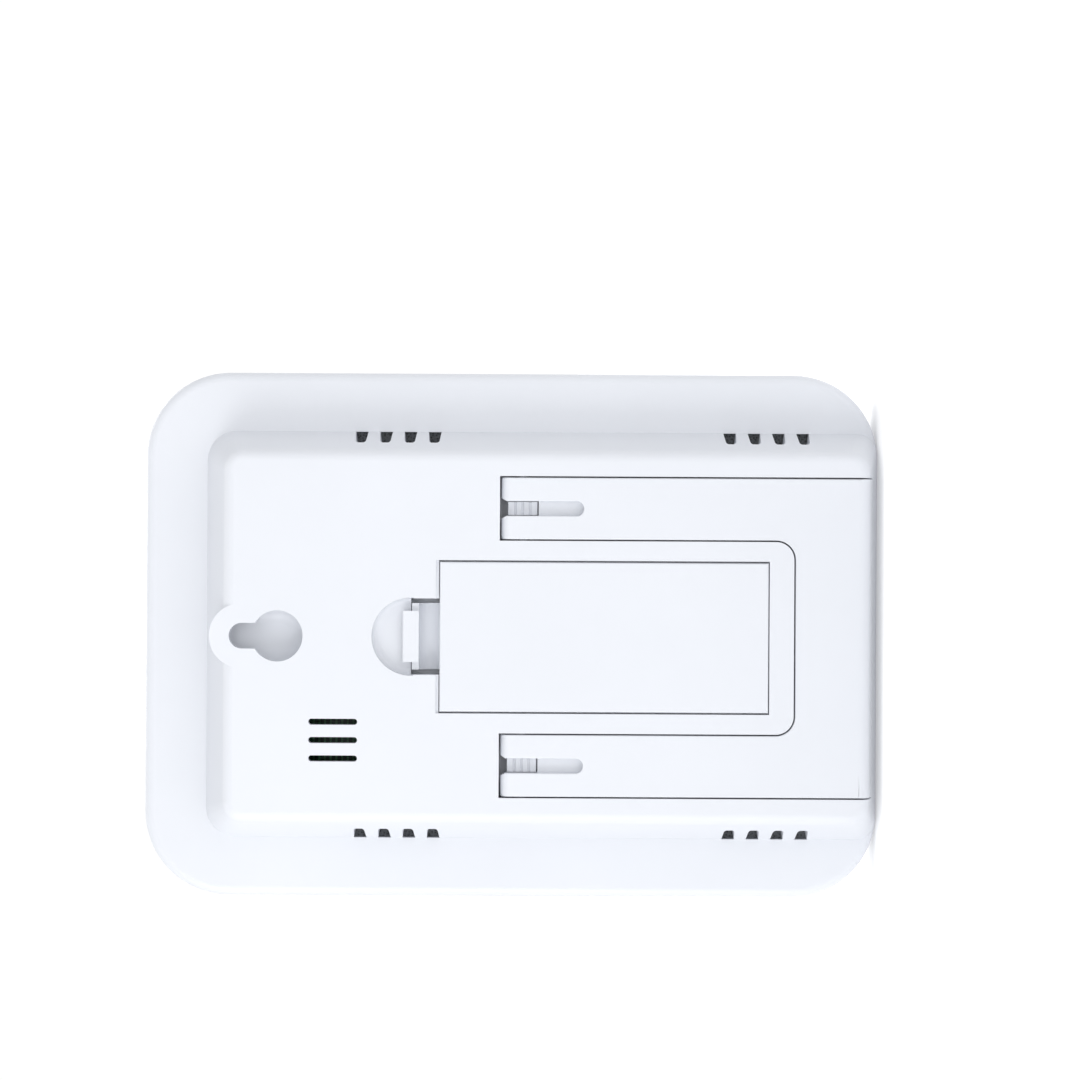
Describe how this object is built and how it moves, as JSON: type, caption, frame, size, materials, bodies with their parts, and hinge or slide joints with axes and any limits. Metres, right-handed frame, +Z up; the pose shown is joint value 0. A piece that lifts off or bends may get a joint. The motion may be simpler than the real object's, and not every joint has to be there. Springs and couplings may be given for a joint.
{
  "type": "carbon monoxide alarm",
  "caption": "Upright battery carbon monoxide alarm with a display, test button, keyhole for a wall screw, latched battery door and fold-out table stand.",
  "frame": {"origin": "centre of the body's footprint, at the height of the surface that it stands on", "axes": "+Z up with the keyhole's narrow end at the top, front face towards -Y, back with the battery door and stand towards +Y"},
  "size_m": [0.0872, 0.025, 0.122],
  "materials": {
    "case_white": "fine satin moulded ABS",
    "inner_white": "matte",
    "window": "smoked clear acrylic",
    "lcd": "polished",
    "black_foam": "matte",
    "button_grey": "satin",
    "black_plastic": "matte",
    "lamp": "clear epoxy",
    "light_pipe": "clear polycarbonate",
    "brass": "rolled",
    "board_green": "solder mask",
    "steel": "nickel plated",
    "cell_wrap": "shrink wrap"
  },
  "bodies": {
    "case": {"front_cover": "case_white", "rear_cover": "case_white", "display_window": "window", "window_tape": "black_foam", "lcd_glass": "lcd", "lcd_holder": "inner_white", "backlight_panel": "inner_white", "contact_strips": "black_foam", "tact_switch": "black_plastic", "led_power": "lamp", "led_fault": "lamp", "led_alarm": "lamp", "light_pipe_power": "light_pipe", "light_pipe_fault": "light_pipe", "light_pipe_alarm": "light_pipe", "sounder_gasket": "black_foam", "sounder_case": "black_plastic", "piezo_disc": "brass", "main_board": "board_green", "board_screws": "steel", "co_sensor": "black_plastic", "sensor_cap": "steel", "vent_screens": "black_foam", "microcontroller": "black_plastic", "capacitors": "steel", "inductor": "black_plastic", "crystal": "steel", "small_chips": "black_plastic", "battery_left": "cell_wrap", "battery_right": "cell_wrap", "bridge_contact": "steel", "positive_contact": "steel", "negative_contact": "steel", "bridge_spring": "steel", "negative_spring": "steel"},
    "stand": {"stand": "case_white"},
    "battery_door": {"battery_door": "case_white"},
    "door_latch": {"door_latch": "case_white"},
    "test_button": {"test_button": "button_grey", "switch_plunger": "black_plastic"}
  },
  "joints": [
    {"name": "stand_fold", "type": "hinge", "parent": "case", "child": "stand", "pos_m": [0, 0.0102, 0.0591], "axis": [1, 0, 0], "range_deg": [0, 38]},
    {"name": "door_open", "type": "hinge", "parent": "case", "child": "battery_door", "pos_m": [0, 0.01225, 0.01905], "axis": [-1, 0, 0], "range_deg": [0, 60]},
    {"name": "latch_flex", "type": "hinge", "parent": "battery_door", "child": "door_latch", "pos_m": [0, 0.0105, 0.07432], "axis": [-1, 0, 0], "range_deg": [0, 8], "stiffness_Nm_per_rad": 0.05},
    {"name": "button_press", "type": "slide", "parent": "case", "child": "test_button", "axis": [0, 1, 0], "range_m": [0, 0.0005], "stiffness_N_per_m": 3000}
  ]
}
